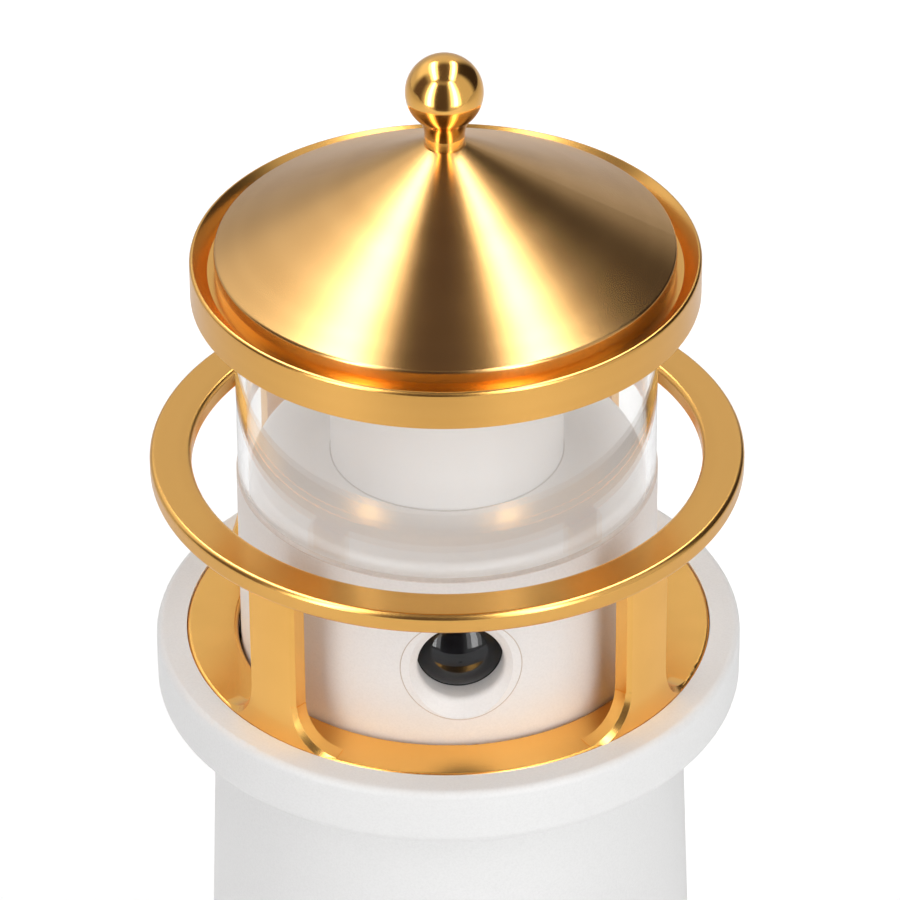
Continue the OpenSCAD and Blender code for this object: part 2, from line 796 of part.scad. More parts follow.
module motor_bracket() {
    color(steel)
        difference() {
            union() {
                rod(bracket_arm_w / 2, bracket_z0, bracket_z1);
                translate([0, -bracket_arm_w / 2, bracket_z0])
                    cube([pinion_x + motor_nose_r + 1.5, bracket_arm_w, bracket_t]);
                translate([bracket_post[0] - bracket_edge, -bracket_post[1], bracket_z0])
                    cube([2 * bracket_edge, 2 * bracket_post[1], bracket_t]);
                translate([bracket_post[0] - bracket_edge, -motor_ear_y - bracket_edge, bracket_z0])
                    cube([
                        motor_x - bracket_post[0] + 2 * bracket_edge,
                        2 * (motor_ear_y + bracket_edge),
                        bracket_t,
                    ]);
                on_bracket_posts() rod(bracket_edge, bracket_z0, bracket_z1);
            }
            rod(slip_core_r + seat / 2, bracket_z0 - over, bracket_z1 + over);
            translate([pinion_x, 0, 0]) rod(motor_nose_r + seat, bracket_z0 - over, bracket_z1 + over);
            on_bracket_posts() rod(screw_hole_r, bracket_z0 - over, bracket_z1 + over);
            on_motor_ears() rod(core_hole_r, bracket_z0 - over, bracket_z1 + over);
        }
}

module motor_screws() {
    color(steel)
        on_motor_ears()
            translate([0, 0, bracket_z0 - motor_ear_t]) mirror([0, 0, 1])
                screw(0, motor_ear_t + bracket_t + 1);
}

module bracket_screws() {
    color(steel)
        on_bracket_posts() translate([0, 0, bracket_z0]) mirror([0, 0, 1]) screw(0, bracket_bite);
}

module motor_shaft() {
    color(steel) translate([pinion_x, 0, 0]) rod(motor_shaft_r, bracket_z0 - motor_shaft_in, gear_z1 + 0.5);
}

module drive_pinion() {
    color(acetal)
        translate([pinion_x, 0, gear_z0])
            difference() {
                rotate([0, 0, 180 + 180 / pinion_teeth])
                    linear_extrude(gear_t) gear_outline(pinion_teeth, tooth_play);
                rod(motor_shaft_r + seat / 2, -over, gear_t + over);
            }
}

module drum_gear() {
    color(acetal)
        difference() {
            union() {
                translate([0, 0, gear_z0]) linear_extrude(gear_t) gear_outline(gear_teeth, tooth_play);
                rod(gear_boss_r, gear_z1 - 0.5, gear_boss_z1);
            }
            tube(gear_boss_r, gear_pitch_r - gear_rim_w, gear_z0 - over, gear_z0 + gear_dish);
            rod(hub_r + seat / 2, gear_z0 - over, gear_boss_z1 + over);
        }
}

module hub_clip() {
    color(steel) tube(hub_step_r + seat / 2, clip_r, clip_z0, clip_z0 + clip_t);
}

module turntable_hub() {
    color(white_abs)
        difference() {
            union() {
                rod(hub_step_r, hub_z0, gear_z0);
                rod(hub_r, gear_z0, hub_flange_z + 0.5);
                rod(hub_flange_r, hub_flange_z, drum_z0);
            }
            rod(hub_bore_r, hub_z0 - over, drum_z0 + over);
            around(hub_screw_ring, base_screw_angles) rod(core_hole_r, hub_flange_z - over, drum_z0 + over);
        }
}

module hub_screws() {
    color(steel)
        around(hub_screw_ring, base_screw_angles)
            screw(drum_z0 + drum_floor_t, drum_floor_t + hub_flange_t);
}

module slip_ring_core() {
    color(black_plastic) rod(slip_core_r, slip_core_z0, slip_z1 - 1);
}

module slip_ring_housing() {
    color(aluminium)
        difference() {
            union() {
                rod(slip_housing_r, slip_z0, slip_z1);
                rod(hub_bore_r - seat / 2, slip_z1 - slip_flange_t, slip_z1);
            }
            rod(slip_core_r + run, slip_z0 - over, slip_z1 - 0.9);
        }
}

// Projector drum and its optics

module projector_drum() {
    edge = glass_step;
    color(white_abs)
        difference() {
            union() {
                rotate_extrude()
                    union() {
                        translate([drum_in_r, drum_z0]) square([drum_wall, drum_z1 - drum_z0 - edge]);
                        translate([drum_in_r, drum_z0]) square([drum_wall - edge, drum_z1 - drum_z0]);
                        translate([drum_r - edge, drum_z1 - edge]) circle(edge);
                        translate([drum_in_r - ledge_w, ledge_z1 - ledge_t]) square([ledge_w + 1, ledge_t]);
                    }
                rod(drum_in_r + 0.5, drum_z0, drum_z0 + drum_floor_t);
            }
            rod(hub_bore_r - 1, drum_z0 - over, drum_z0 + drum_floor_t + over);
            around(hub_screw_ring, base_screw_angles)
                rod(screw_hole_r, drum_z0 - over, drum_z0 + drum_floor_t + over);
            on_lens_axis() rod(bezel_r + seat, -over, drum_r / 2);
        }
}

module lens_bezel() {
    lip_r = bezel_r - dish_lip_w;
    dish_tilt = atan((dish_depth - dish_lip) / (lip_r - lens_bore_r));
    tangent = dish_edge * tan(45 - dish_tilt / 2);
    bore_z = dish_depth + tangent;
    color(white_abs)
        intersection() {
            on_lens_axis()
                difference() {
                    rotate_extrude()
                        union() {
                            polygon([
                                [lens_bore_r, bore_z],
                                [lens_bore_r + tangent * cos(dish_tilt), dish_depth - tangent * sin(dish_tilt)],
                                [lip_r, dish_lip],
                                [lip_r, -over],
                                [bezel_r, -over],
                                [bezel_r, bezel_l],
                                [lens_bore_r, bezel_l],
                            ]);
                            translate([lens_bore_r + dish_edge, bore_z]) circle(dish_edge);
                            translate([bezel_r - 1, drum_r - bezel_flange_y])
                                square([bezel_flange_r - bezel_r + 1, bezel_flange_t]);
                        }
                    rod(lens_r + seat / 2, lens_seat, bezel_l + over);
                }
            rod(drum_r, deck_z1, drum_z1);
        }
}

module projection_lens() {
    color(clear_glass)
        on_lens_axis()
            union() {
                rod(lens_r, lens_seat, lens_seat + lens_edge_t);
                intersection() {
                    translate([0, 0, lens_seat - lens_sag + dome_sphere_r]) sphere(dome_sphere_r);
                    rod(lens_dome_r, lens_seat - lens_sag - over, lens_seat + 0.5);
                }
            }
}

module lens_barrel() {
    color(black_plastic)
        on_lens_axis()
            difference() {
                union() {
                    rod(lens_r, lens_seat + lens_edge_t, barrel_front + 1);
                    rod(barrel_r, barrel_front, barrel_back);
                }
                rod(barrel_bore_r, lens_seat, barrel_back + over);
            }
}

module image_slide() {
    color(clear_glass) on_lens_axis() rod(barrel_bore_r - glass_edge, slide_at, slide_at + slide_t);
}

module slide_ring() {
    color(black_plastic)
        on_lens_axis()
            tube(
                barrel_bore_r - slide_ring_w,
                barrel_bore_r - glass_edge,
                slide_at + slide_t,
                slide_at + slide_t + slide_ring_t
            );
}

module condenser_lens() {
    color(clear_glass)
        on_lens_axis()
            translate([0, 0, condenser_mid])
                intersection() {
                    translate([0, 0, condenser_sphere_r - condenser_t / 2]) sphere(condenser_sphere_r);
                    translate([0, 0, condenser_t / 2 - condenser_sphere_r]) sphere(condenser_sphere_r);
                    rod(barrel_bore_r - glass_edge, -condenser_t, condenser_t);
                }
}

module barrel_cradle() {
    y0 = -drum_r + barrel_front + cradle_front;
    color(black_plastic)
        difference() {
            translate([-cradle_w / 2, y0, drum_z0 + drum_floor_t])
                cube([cradle_w, cradle_l, lens_z - drum_z0 - drum_floor_t - barrel_r / 2]);
            on_lens_axis() rod(barrel_r + seat / 2, 0, drum_r);
            around(hub_screw_ring, base_screw_angles)
                rod(head_r + head_gap, drum_z0, drum_z0 + drum_floor_t + head_h + 1);
        }
}

module led_board() {
    color(board_green) on_lens_axis() rod(barrel_r, barrel_back, barrel_back + led_board_t);
}

module projector_led() {
    color([0.95, 0.85, 0.45])
        on_lens_axis() {
            translate([-led_base_w / 2, -led_base_w / 2, barrel_back - led_base_t])
                cube([led_base_w, led_base_w, led_base_t]);
            intersection() {
                translate([0, 0, barrel_back - led_base_t]) sphere(led_r);
                rod(led_r, barrel_back - led_base_t - led_r, barrel_back - led_base_t / 2);
            }
        }
}

module heat_sink() {
    z0 = barrel_back + led_board_t;
    pitch = (2 * (barrel_r - sink_edge) - sink_fin_t) / (sink_fins - 1);
    color(aluminium)
        on_lens_axis() {
            rod(barrel_r, z0, z0 + sink_base_t);
            for (i = [0 : sink_fins - 1])
                translate([-barrel_r + sink_edge + i * pitch, -sink_fin_w / 2, z0 + sink_edge])
                    cube([sink_fin_t, sink_fin_w, sink_base_t + sink_fin_l - sink_edge]);
        }
}

// Lantern

module lantern_floor() {
    width = floor_r - floor_hole_r;
    height = floor_top_z - ledge_z1;
    color(white_abs)
        difference() {
            rotate_extrude()
                union() {
                    translate([floor_hole_r, ledge_z1]) square([width, height - floor_edge]);
                    translate([floor_hole_r, ledge_z1]) square([width - floor_edge, height]);
                    translate([floor_r - floor_edge, floor_top_z - floor_edge]) circle(floor_edge);
                    difference() {
                        translate([column_r - 3, floor_top_z - 0.5]) square([3 + cove_w, cove_h + 0.5]);
                        translate([column_r + cove_w, floor_top_z + cove_r + 0.01]) circle(cove_r);
                    }
                }
            rod(column_r + seat, column_z0, floor_top_z + cove_h + over);
        }
}

module lantern_glass() {
    color(clear_glass) rounded_ring(glass_in_r, glass_r, glass_z0, glass_z1, 0.4);
}

module lantern_column() {
    color(white_abs)
        union() {
            tube(column_in_r, column_r, column_z0, column_z1);
            tube(column_in_r - 2, column_in_r + 0.5, cap_z0 - cap_ledge_t, cap_z0);
        }
}

module led_post() {
    color(aluminium)
        union() {
            tube(post_tube_bore_r, post_foot_r, column_z0, column_z0 + post_foot_t);
            tube(post_tube_bore_r, post_tube_r, column_z0, led_ring_z0);
        }
}

module lantern_leds() {
    color(board_green)
        union() {
            tube(post_tube_bore_r, led_ring_r, led_ring_z0, led_ring_z0 + led_ring_t);
            around(led_ring_r - led_size, [for (i = [0 : led_count - 1]) 360 * i / led_count])
                translate([-led_size / 2, -led_size / 2, led_ring_z0 + led_ring_t / 2])
                    cube([led_size, led_size, led_ring_t / 2 + led_h]);
        }
}

module column_cap() {
    color(black_plastic)
        difference() {
            rod(column_in_r - seat, cap_z0, cap_z1);
            rod(dimmer_neck_r + seat, cap_z0 - over, cap_z1 + over);
        }
}

module dimmer_body() {
    color(steel)
        difference() {
            union() {
                translate([-dimmer_w / 2, -dimmer_w / 2, dimmer_z0]) cube([dimmer_w, dimmer_w, dimmer_h]);
                rod(dimmer_neck_r, cap_z0 - 1, cap_z1 + dimmer_neck_h);
            }
            rod(shaft_r + run, dimmer_z0 + 2, cap_z1 + dimmer_neck_h + over);
            rod(plunger_r + run, plunger_z0 - press_travel - 0.2, shaft_z0 + 0.4);
        }
}

// Roof: it turns and presses on the dimmer's shaft

module press_plunger() {
    color(acetal) rod(plunger_r, plunger_z0, shaft_z0);
}

module dimmer_shaft() {
    color(steel) rod(shaft_r, shaft_z0, shaft_z1);
}

module roof_hub() {
    color(white_abs)
        difference() {
            union() {
                rod(roof_hub_r, roof_hub_z0, rim_web_z0);
                rod(roof_boss_r, roof_boss_z0, rim_web_z0);
            }
            rod(shaft_r + seat / 2, roof_boss_z0 - over, rim_web_z0 - shaft_skin);
        }
}

module roof_rim() {
    lip_r = roof_r - lip_w;
    color(gold)
        rotate_extrude()
            difference() {
                union() {
                    translate([rim_in_r, roof_z0]) square([rim_w, rim_h - lip_w]);
                    translate([rim_in_r, roof_z0]) square([rim_w - lip_w, rim_h]);
                    translate([lip_r, rim_z1 - lip_w]) circle(lip_w);
                    translate([rim_web_hole_r, rim_web_z0])
                        square([rim_in_r - rim_web_hole_r + 1, cone_seat_z - rim_web_z0]);
                }
                translate([rim_web_hole_r - over, cone_seat_z])
                    square([cone_r + seat - rim_web_hole_r + over, cone_sunk + over]);
                polygon([
                    [cone_r - groove_in, rim_z1 - groove_depth],
                    [lip_r - groove_depth, rim_z1 - groove_depth],
                    [lip_r, rim_z1],
                    [lip_r, rim_z1 + over],
                    [cone_r - groove_in, rim_z1 + over],
                ]);
            }
}

module roof_cone() {
    slope = cone_h / (cone_r - cone_top_r);
    tilt = atan(slope);
    drop = cone_wall / cos(tilt);
    tangent = cone_edge * tan(45 - tilt / 2);
    inner_r = cone_r - 2 * cone_wall;
    inner_top_z = cone_top_z - stud_l - 2 * cone_wall;
    color(gold)
        difference() {
            rotate_extrude()
                difference() {
                    union() {
                        polygon([
                            [0, cone_seat_z],
                            [cone_r, cone_seat_z],
                            [cone_r, cone_edge_z - tangent],
                            [cone_r - tangent * cos(tilt), cone_edge_z + tangent * sin(tilt)],
                            [cone_top_r, cone_top_z],
                            [0, cone_top_z],
                        ]);
                        translate([cone_r - cone_edge, cone_edge_z - tangent]) circle(cone_edge);
                    }
                    polygon([
                        [-over, cone_seat_z - over],
                        [inner_r, cone_seat_z - over],
                        [inner_r, cone_edge_z + (cone_r - inner_r) * slope - drop],
                        [stud_boss_r, cone_edge_z + (cone_r - stud_boss_r) * slope - drop],
                        [stud_boss_r, inner_top_z],
                        [-over, inner_top_z],
                    ]);
                }
            rod(stud_r + seat / 2, cone_top_z - stud_l - stud_end, cone_top_z + over);
        }
}

module finial() {
    blend_z = waist_z + waist_fillet_r * (ball_z - waist_z) / (ball_r + waist_fillet_r);
    blend_r = ball_r * (waist_r + waist_fillet_r) / (ball_r + waist_fillet_r);
    color(gold)
        union() {
            translate([0, 0, ball_z]) sphere(ball_r);
            rotate_extrude()
                difference() {
                    translate([0, waist_z - 0.01]) square([blend_r, blend_z - waist_z + 0.01]);
                    translate([waist_r + waist_fillet_r, waist_z]) circle(waist_fillet_r);
                }
            rod(waist_r, cone_top_z, waist_z);
            rod(stud_r, cone_top_z - stud_l, cone_top_z + 1);
        }
}

tower_shell();
base_plate();
foot_ring();
ballast_ring();
base_screws();
battery_holder();
battery_cell();
main_board();
charging_socket();
button_switch();
power_button();
gallery_deck();
deck_screws();
gallery_cage();
gallery_rail();
turntable_bush();
drive_motor();
motor_bracket();
motor_screws();
bracket_screws();
motor_shaft();
drive_pinion();
slip_ring_core();
slip_ring_housing();
turntable_hub();
hub_screws();
drum_gear();
hub_clip();
projector_drum();
lens_bezel();
projection_lens();
lens_barrel();
image_slide();
slide_ring();
condenser_lens();
barrel_cradle();
led_board();
projector_led();
heat_sink();
lantern_floor();
lantern_glass();
lantern_column();
lantern_leds();
led_post();
column_cap();
dimmer_body();
press_plunger();
dimmer_shaft();
roof_hub();
roof_rim();
roof_cone();
finial();
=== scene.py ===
# %% [markdown]
# # A lighthouse lamp in gold, white and glass
# This lesson dresses a small table lamp that looks like a lighthouse. A white tower carries a gold
# gallery, a white drum with a lens turns inside it, and a clear glass lantern under a gold roof
# stands on the drum. The construction arrives as finished solids at their real size, so most of the
# work is in the surfaces, in the small shapes that only the eye needs, and in the light.

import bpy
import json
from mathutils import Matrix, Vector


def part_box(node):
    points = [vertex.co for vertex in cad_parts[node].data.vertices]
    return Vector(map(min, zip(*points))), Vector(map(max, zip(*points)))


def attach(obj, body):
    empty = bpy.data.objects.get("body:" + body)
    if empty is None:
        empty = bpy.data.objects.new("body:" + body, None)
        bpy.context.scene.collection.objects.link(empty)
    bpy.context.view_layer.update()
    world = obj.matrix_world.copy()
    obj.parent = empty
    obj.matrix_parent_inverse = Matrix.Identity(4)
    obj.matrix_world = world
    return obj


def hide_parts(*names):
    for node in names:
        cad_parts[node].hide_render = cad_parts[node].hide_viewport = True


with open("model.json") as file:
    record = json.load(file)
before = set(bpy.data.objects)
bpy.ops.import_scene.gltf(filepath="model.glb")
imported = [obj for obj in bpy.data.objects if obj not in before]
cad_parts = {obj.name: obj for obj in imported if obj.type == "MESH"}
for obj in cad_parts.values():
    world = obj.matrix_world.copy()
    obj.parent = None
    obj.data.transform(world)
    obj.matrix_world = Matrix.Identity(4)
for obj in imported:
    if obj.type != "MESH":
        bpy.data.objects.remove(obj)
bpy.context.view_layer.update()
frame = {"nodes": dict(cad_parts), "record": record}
nodes = frame["nodes"]

# %% [markdown]
# ## The camera
# The picture looks down on the roof from a little over thirty degrees, from far away and with a
# long lens, so that the round rims are almost perfect ellipses. A camera could be aimed with a
# tracking constraint. Here its three axes are written out instead, because a photographer's camera
# is never quite level, and a small roll is easy to add to written axes.

# %% Place the camera
import bpy
import math
from mathutils import Matrix, Vector

CAMERA_TURN = math.radians(-3.5)
CAMERA_RISE = math.radians(33.82)
CAMERA_ROLL = math.radians(-0.416)
CAMERA_DISTANCE = 1.2112
TARGET = Vector((0.0006, 0.0, 0.16862))

turn = Matrix.Rotation(CAMERA_TURN, 3, "Z")


def seen_from_camera(across, away, up):
    """A point given across the picture, away from the camera and up, from the lamp's foot."""
    return turn @ Vector((across, away, up))


back = seen_from_camera(0, -math.cos(CAMERA_RISE), math.sin(CAMERA_RISE))
across = seen_from_camera(1, 0, 0)
upward = back.cross(across)
rolled_across = across * math.cos(CAMERA_ROLL) + upward * math.sin(CAMERA_ROLL)
rolled_upward = upward * math.cos(CAMERA_ROLL) - across * math.sin(CAMERA_ROLL)

camera = bpy.data.objects.new("camera", bpy.data.cameras.new("camera"))
camera.data.lens = 240
camera.data.sensor_width = 36
camera.data.clip_end = 20
axes = Matrix((rolled_across, rolled_upward, back)).transposed()
camera.matrix_world = Matrix.Translation(turn @ TARGET + back * CAMERA_DISTANCE) @ axes.to_4x4()
bpy.context.scene.collection.objects.link(camera)
bpy.context.scene.camera = camera
print("camera at", [round(v, 3) for v in camera.matrix_world.translation])

# %% [markdown]
# ## Building materials from nodes
# Every finish below is made of shader nodes. Three small helpers keep the cells short: one adds a
# node with its settings, one joins two sockets, and one opens a node group with named inputs and
# outputs. A group is built once and then placed in each material with that material's own values.

# %% Helpers for nodes
def add(tree, kind, **settings):
    """Adds a node, sets its properties, and gives values to inputs that are named in quotes."""
    made = tree.nodes.new(kind)
    for name, value in settings.pop("values", {}).items():
        made.inputs[name].default_value = value
    for name, value in settings.items():
        setattr(made, name, value)
    return made


def join(tree, source, target):
    tree.links.new(source, target)


def open_group(name, inputs, outputs):
    """A new node group with float inputs and with outputs, and its two end nodes."""
    group = bpy.data.node_groups.new(name, "ShaderNodeTree")
    for label, value in inputs.items():
        socket = group.interface.new_socket(name=label, in_out="INPUT", socket_type="NodeSocketFloat")
        socket.default_value = value
    for label, kind in outputs.items():
        group.interface.new_socket(name=label, in_out="OUTPUT", socket_type=kind)
    return group, group.nodes.new("NodeGroupInput"), group.nodes.new("NodeGroupOutput")


def open_material(name):
    """A new material with its Principled shader, and its node tree."""
    made = bpy.data.materials.new(name)
    made.use_nodes = True
    tree = made.node_tree
    return made, tree, tree.nodes["Principled BSDF"]


def place(tree, group, values):
    placed = tree.nodes.new("ShaderNodeGroup")
    placed.node_tree = group
    for name, value in values.items():
        placed.inputs[name].default_value = value
    return placed


print("node helpers:", [tool.__name__ for tool in (add, join, open_group, open_material, place)])


# %% [markdown]
# ## Turned lines
# The gold roof, its rim and the rail were turned on a lathe, and the tool left fine rings around
# the lamp's axis. They could be modelled as grooves, but they are finer than a tenth of a
# millimetre. A one-dimensional noise does it better: it reads only the distance from the axis and
# the height, so every line it draws is a true circle. Height counts a little less than distance, so
# that lines don't run together on a wall that slopes at forty-five degrees.

# %% Group: turned lines
HEIGHT_SHARE = 0.83


def build_turned_lines():
    group, start, end = open_group(
        "turned lines",
        {"Pitch": 0.0002, "Band": 0.004},
        {"Height": "NodeSocketFloat", "Bands": "NodeSocketFloat"},
    )
    place_of = add(group, "ShaderNodeTexCoord")
    flat = add(group, "ShaderNodeVectorMath", operation="MULTIPLY")
    flat.inputs[1].default_value = (1, 1, 0)
    radius = add(group, "ShaderNodeVectorMath", operation="LENGTH")
    split = add(group, "ShaderNodeSeparateXYZ")
    path = add(group, "ShaderNodeMath", operation="MULTIPLY_ADD")
    path.inputs[1].default_value = HEIGHT_SHARE
    join(group, place_of.outputs["Object"], flat.inputs[0])
    join(group, flat.outputs[0], radius.inputs[0])
    join(group, place_of.outputs["Object"], split.inputs[0])
    join(group, split.outputs["Z"], path.inputs[0])
    join(group, radius.outputs["Value"], path.inputs[2])
    for pitch, detail, result in (("Pitch", 3, "Height"), ("Band", 1.5, "Bands")):
        along = add(group, "ShaderNodeMath", operation="DIVIDE")
        rings = add(group, "ShaderNodeTexNoise", noise_dimensions="1D", values={"Detail": detail, "Scale": 1})
        join(group, path.outputs[0], along.inputs[0])
        join(group, start.outputs[pitch], along.inputs[1])
        join(group, along.outputs[0], rings.inputs["W"])
        join(group, rings.outputs[0], end.inputs[result])
    return group


turned_lines = build_turned_lines()
print("group:", turned_lines.name)

# %% [markdown]
# ## Bloom
# Metal and plastic that people handle never shine evenly: soft clouds of slightly duller surface
# lie on them. Two noises of different size make such clouds. The group gives a mask, and each
# material decides how much duller or darker a cloud is.

# %% Group: bloom
def build_bloom():
    group, start, end = open_group("bloom", {"Size": 0.012, "Contrast": 1.0}, {"Mask": "NodeSocketFloat"})
    place_of = add(group, "ShaderNodeTexCoord")
    shrink = add(group, "ShaderNodeVectorMath", operation="SCALE")
    inverse = add(group, "ShaderNodeMath", operation="DIVIDE")
    inverse.inputs[0].default_value = 1
    clouds = add(group, "ShaderNodeTexNoise", values={"Scale": 1, "Detail": 4, "Roughness": 0.55})
    centre = add(group, "ShaderNodeMath", operation="SUBTRACT")
    centre.inputs[1].default_value = 0.5
    spread = add(group, "ShaderNodeMath", operation="MULTIPLY_ADD", use_clamp=True)
    spread.inputs[2].default_value = 0.5
    join(group, start.outputs["Size"], inverse.inputs[1])
    join(group, place_of.outputs["Object"], shrink.inputs[0])
    join(group, inverse.outputs[0], shrink.inputs["Scale"])
    join(group, shrink.outputs[0], clouds.inputs["Vector"])
    join(group, clouds.outputs[0], centre.inputs[0])
    join(group, centre.outputs[0], spread.inputs[0])
    join(group, start.outputs["Contrast"], spread.inputs[1])
    join(group, spread.outputs[0], end.inputs["Mask"])
    return group


bloom = build_bloom()
print("group:", bloom.name)

# %% [markdown]
# ## Moulded skin
# The white shells are moulded with a fine matt texture and lacquered. Close up the skin is a field
# of tiny soft bumps. A fine noise gives their height, and a mask that is a little darker in the
# hollows keeps the white from looking like paper.

# %% Group: moulded skin
def build_moulded_skin():
    group, start, end = open_group(
        "moulded skin", {"Grain": 0.0004}, {"Height": "NodeSocketFloat", "Hollows": "NodeSocketFloat"}
    )
    place_of = add(group, "ShaderNodeTexCoord")
    shrink = add(group, "ShaderNodeVectorMath", operation="SCALE")
    inverse = add(group, "ShaderNodeMath", operation="DIVIDE")
    inverse.inputs[0].default_value = 1
    bumps = add(group, "ShaderNodeTexNoise", values={"Scale": 1, "Detail": 2, "Roughness": 0.6})
    hollow = add(group, "ShaderNodeMapRange", values={"From Min": 0.62, "From Max": 0.3})
    join(group, start.outputs["Grain"], inverse.inputs[1])
    join(group, place_of.outputs["Object"], shrink.inputs[0])
    join(group, inverse.outputs[0], shrink.inputs["Scale"])
    join(group, shrink.outputs[0], bumps.inputs["Vector"])
    join(group, bumps.outputs[0], hollow.inputs["Value"])
    join(group, bumps.outputs[0], end.inputs["Height"])
    join(group, hollow.outputs[0], end.inputs["Hollows"])
    return group


moulded_skin = build_moulded_skin()
print("group:", moulded_skin.name)


# %% [markdown]
# ## Mixing in a material
# Three more helpers are used by every finish: one mixes two colours by a mask, one stretches a mask
# between two values, such as two roughnesses, and one turns a height into small bumps. Each of them
# ends in the socket it is given.

# %% Helpers for mixing
# The Mix node has sockets for every kind of data. These are the places of its colour sockets.
MIX_LOW, MIX_HIGH, MIX_RESULT = 6, 7, 2


def mixed_colour(tree, mask, low, high, target):
    blend = add(tree, "ShaderNodeMix", data_type="RGBA")
    blend.inputs[MIX_LOW].default_value = (*low, 1)
    blend.inputs[MIX_HIGH].default_value = (*high, 1)
    join(tree, mask, blend.inputs[0])
    join(tree, blend.outputs[MIX_RESULT], target)


def ranged(tree, mask, low, high, target):
    stretch = add(tree, "ShaderNodeMapRange", values={"To Min": low, "To Max": high})
    join(tree, mask, stretch.inputs["Value"])
    join(tree, stretch.outputs[0], target)


def bumped(tree, height, distance, strength, target):
    bump = add(tree, "ShaderNodeBump", values={"Distance": distance, "Strength": strength})
    join(tree, height, bump.inputs["Height"])
    join(tree, bump.outputs[0], target)


print("mixing helpers:", [tool.__name__ for tool in (mixed_colour, ranged, bumped)])


# %% [markdown]
# ## Gold, turned
# Gold anodised aluminium is a metal with a tinted mirror colour. What makes the roof look turned is
# that its highlights run from the tip to the rim: light spreads across the rings, not along them.
# The shader's anisotropy does this, with a tangent that goes round the lamp's axis. The roof is
# paler, and its light spreads far. The rim and the rail are turned with a sharper tool: theirs is a
# deeper gold and spreads only a little.

# %% Material: turned gold
def turned_gold(name, deep, light, roughness, spread, line_depth):
    made, tree, shader = open_material(name)
    lines = place(tree, turned_lines, {"Pitch": 0.00018, "Band": 0.0035})
    clouds = place(tree, bloom, {"Size": 0.02, "Contrast": 1.4})
    tangent = add(tree, "ShaderNodeTangent", direction_type="RADIAL", axis="Z")
    shader.inputs["Metallic"].default_value = 1
    shader.inputs["Anisotropic"].default_value = spread
    shader.inputs["Anisotropic Rotation"].default_value = 0.25
    join(tree, tangent.outputs[0], shader.inputs["Tangent"])
    mixed_colour(tree, lines.outputs["Bands"], deep, light, shader.inputs["Base Color"])
    ranged(tree, clouds.outputs["Mask"], roughness - 0.02, roughness + 0.03, shader.inputs["Roughness"])
    bumped(tree, lines.outputs["Height"], line_depth, 0.3, shader.inputs["Normal"])
    return made


materials = {
    "gold_turned": turned_gold("gold_turned", deep=(0.575, 0.325, 0.112), light=(0.675, 0.395, 0.148),
                               roughness=0.22, spread=0.8, line_depth=0.000002),
    "gold_satin": turned_gold("gold_satin", deep=(0.75, 0.405, 0.105), light=(0.82, 0.455, 0.125),
                              roughness=0.22, spread=0.2, line_depth=0.000001),
}
print("turned finishes:", list(materials))

# %% [markdown]
# ## Gold, satin and polished
# The cage is not turned but bead-blasted before it is anodised, so its satin has no direction. The
# ball on the roof is polished: the same gold with hardly any roughness, and thin polishing clouds.

# %% Materials: satin and polished gold
GOLD_DEEP = (0.84, 0.455, 0.11)
GOLD_LIGHT = (0.97, 0.54, 0.145)


def plain_gold(name, roughness, bead_depth):
    made, tree, shader = open_material(name)
    skin = place(tree, moulded_skin, {"Grain": 0.00025})
    clouds = place(tree, bloom, {"Size": 0.012, "Contrast": 1.2})
    shader.inputs["Metallic"].default_value = 1
    mixed_colour(tree, clouds.outputs["Mask"], GOLD_DEEP, GOLD_LIGHT, shader.inputs["Base Color"])
    ranged(tree, clouds.outputs["Mask"], roughness * 0.85, roughness * 1.15, shader.inputs["Roughness"])
    bumped(tree, skin.outputs["Height"], bead_depth, 0.4, shader.inputs["Normal"])
    return made


materials["gold_cage"] = plain_gold("gold_cage", 0.24, 0.000003)
materials["gold_polished"] = plain_gold("gold_polished", 0.13, 0.0000005)
print("gold finishes:", [name for name in materials if name.startswith("gold")])

# %% [markdown]
# ## White shells
# The tower, the deck and the drum are white, matt and soft. The tower is cooler, and the drum's
# white is painted warmer, as painted reflected light from the gold around it. The column is a little
# milky, and the gears and bearings inside are cream, the colour of raw acetal. One function makes
# all the whites, each with its own colour, its shade in the hollows and its roughness.

# %% Materials: whites
def white_plastic(name, colour, shade, roughness):
    made, tree, shader = open_material(name)
    skin = place(tree, moulded_skin, {"Grain": 0.00045})
    clouds = place(tree, bloom, {"Size": 0.03, "Contrast": 1.2})
    shader.inputs["Specular IOR Level"].default_value = 0.35
    mixed_colour(tree, skin.outputs["Hollows"], colour, shade, shader.inputs["Base Color"])
    ranged(tree, clouds.outputs["Mask"], roughness - 0.05, roughness + 0.05, shader.inputs["Roughness"])
    bumped(tree, skin.outputs["Height"], 0.00002, 0.35, shader.inputs["Normal"])
    return made


WHITES = {
    "white_shell": ((0.86, 0.865, 0.86), (0.82, 0.825, 0.82), 0.55),
    # The drum's white is painted warmer: painted reflected light from the gold around it.
    "white_drum": ((0.87, 0.855, 0.845), (0.83, 0.815, 0.805), 0.5),
    "white_inner": ((0.87, 0.865, 0.86), (0.84, 0.835, 0.83), 0.42),
    "opal_column": ((0.88, 0.88, 0.88), (0.86, 0.86, 0.86), 0.4),
    "acetal": ((0.80, 0.77, 0.68), (0.76, 0.73, 0.64), 0.35),
}
for name, values in WHITES.items():
    materials[name] = white_plastic(name, *values)
print("whites:", list(WHITES))

# %% [markdown]
# ## Clear glass and lenses
# The lantern's glass is a clear tube with polished edges, and the projector's lenses are coated
# glass. Both are real solids with a wall, so the shader bends light through them as it should, with
# full transmission. The faint film of dust on the tube only changes its roughness. Bent light is
# slow to find its way to the lamps, and the lantern's floor would stay dark. So the light that falls
# on the parts inside goes straight through the tube, and only what is looked at through it is bent.

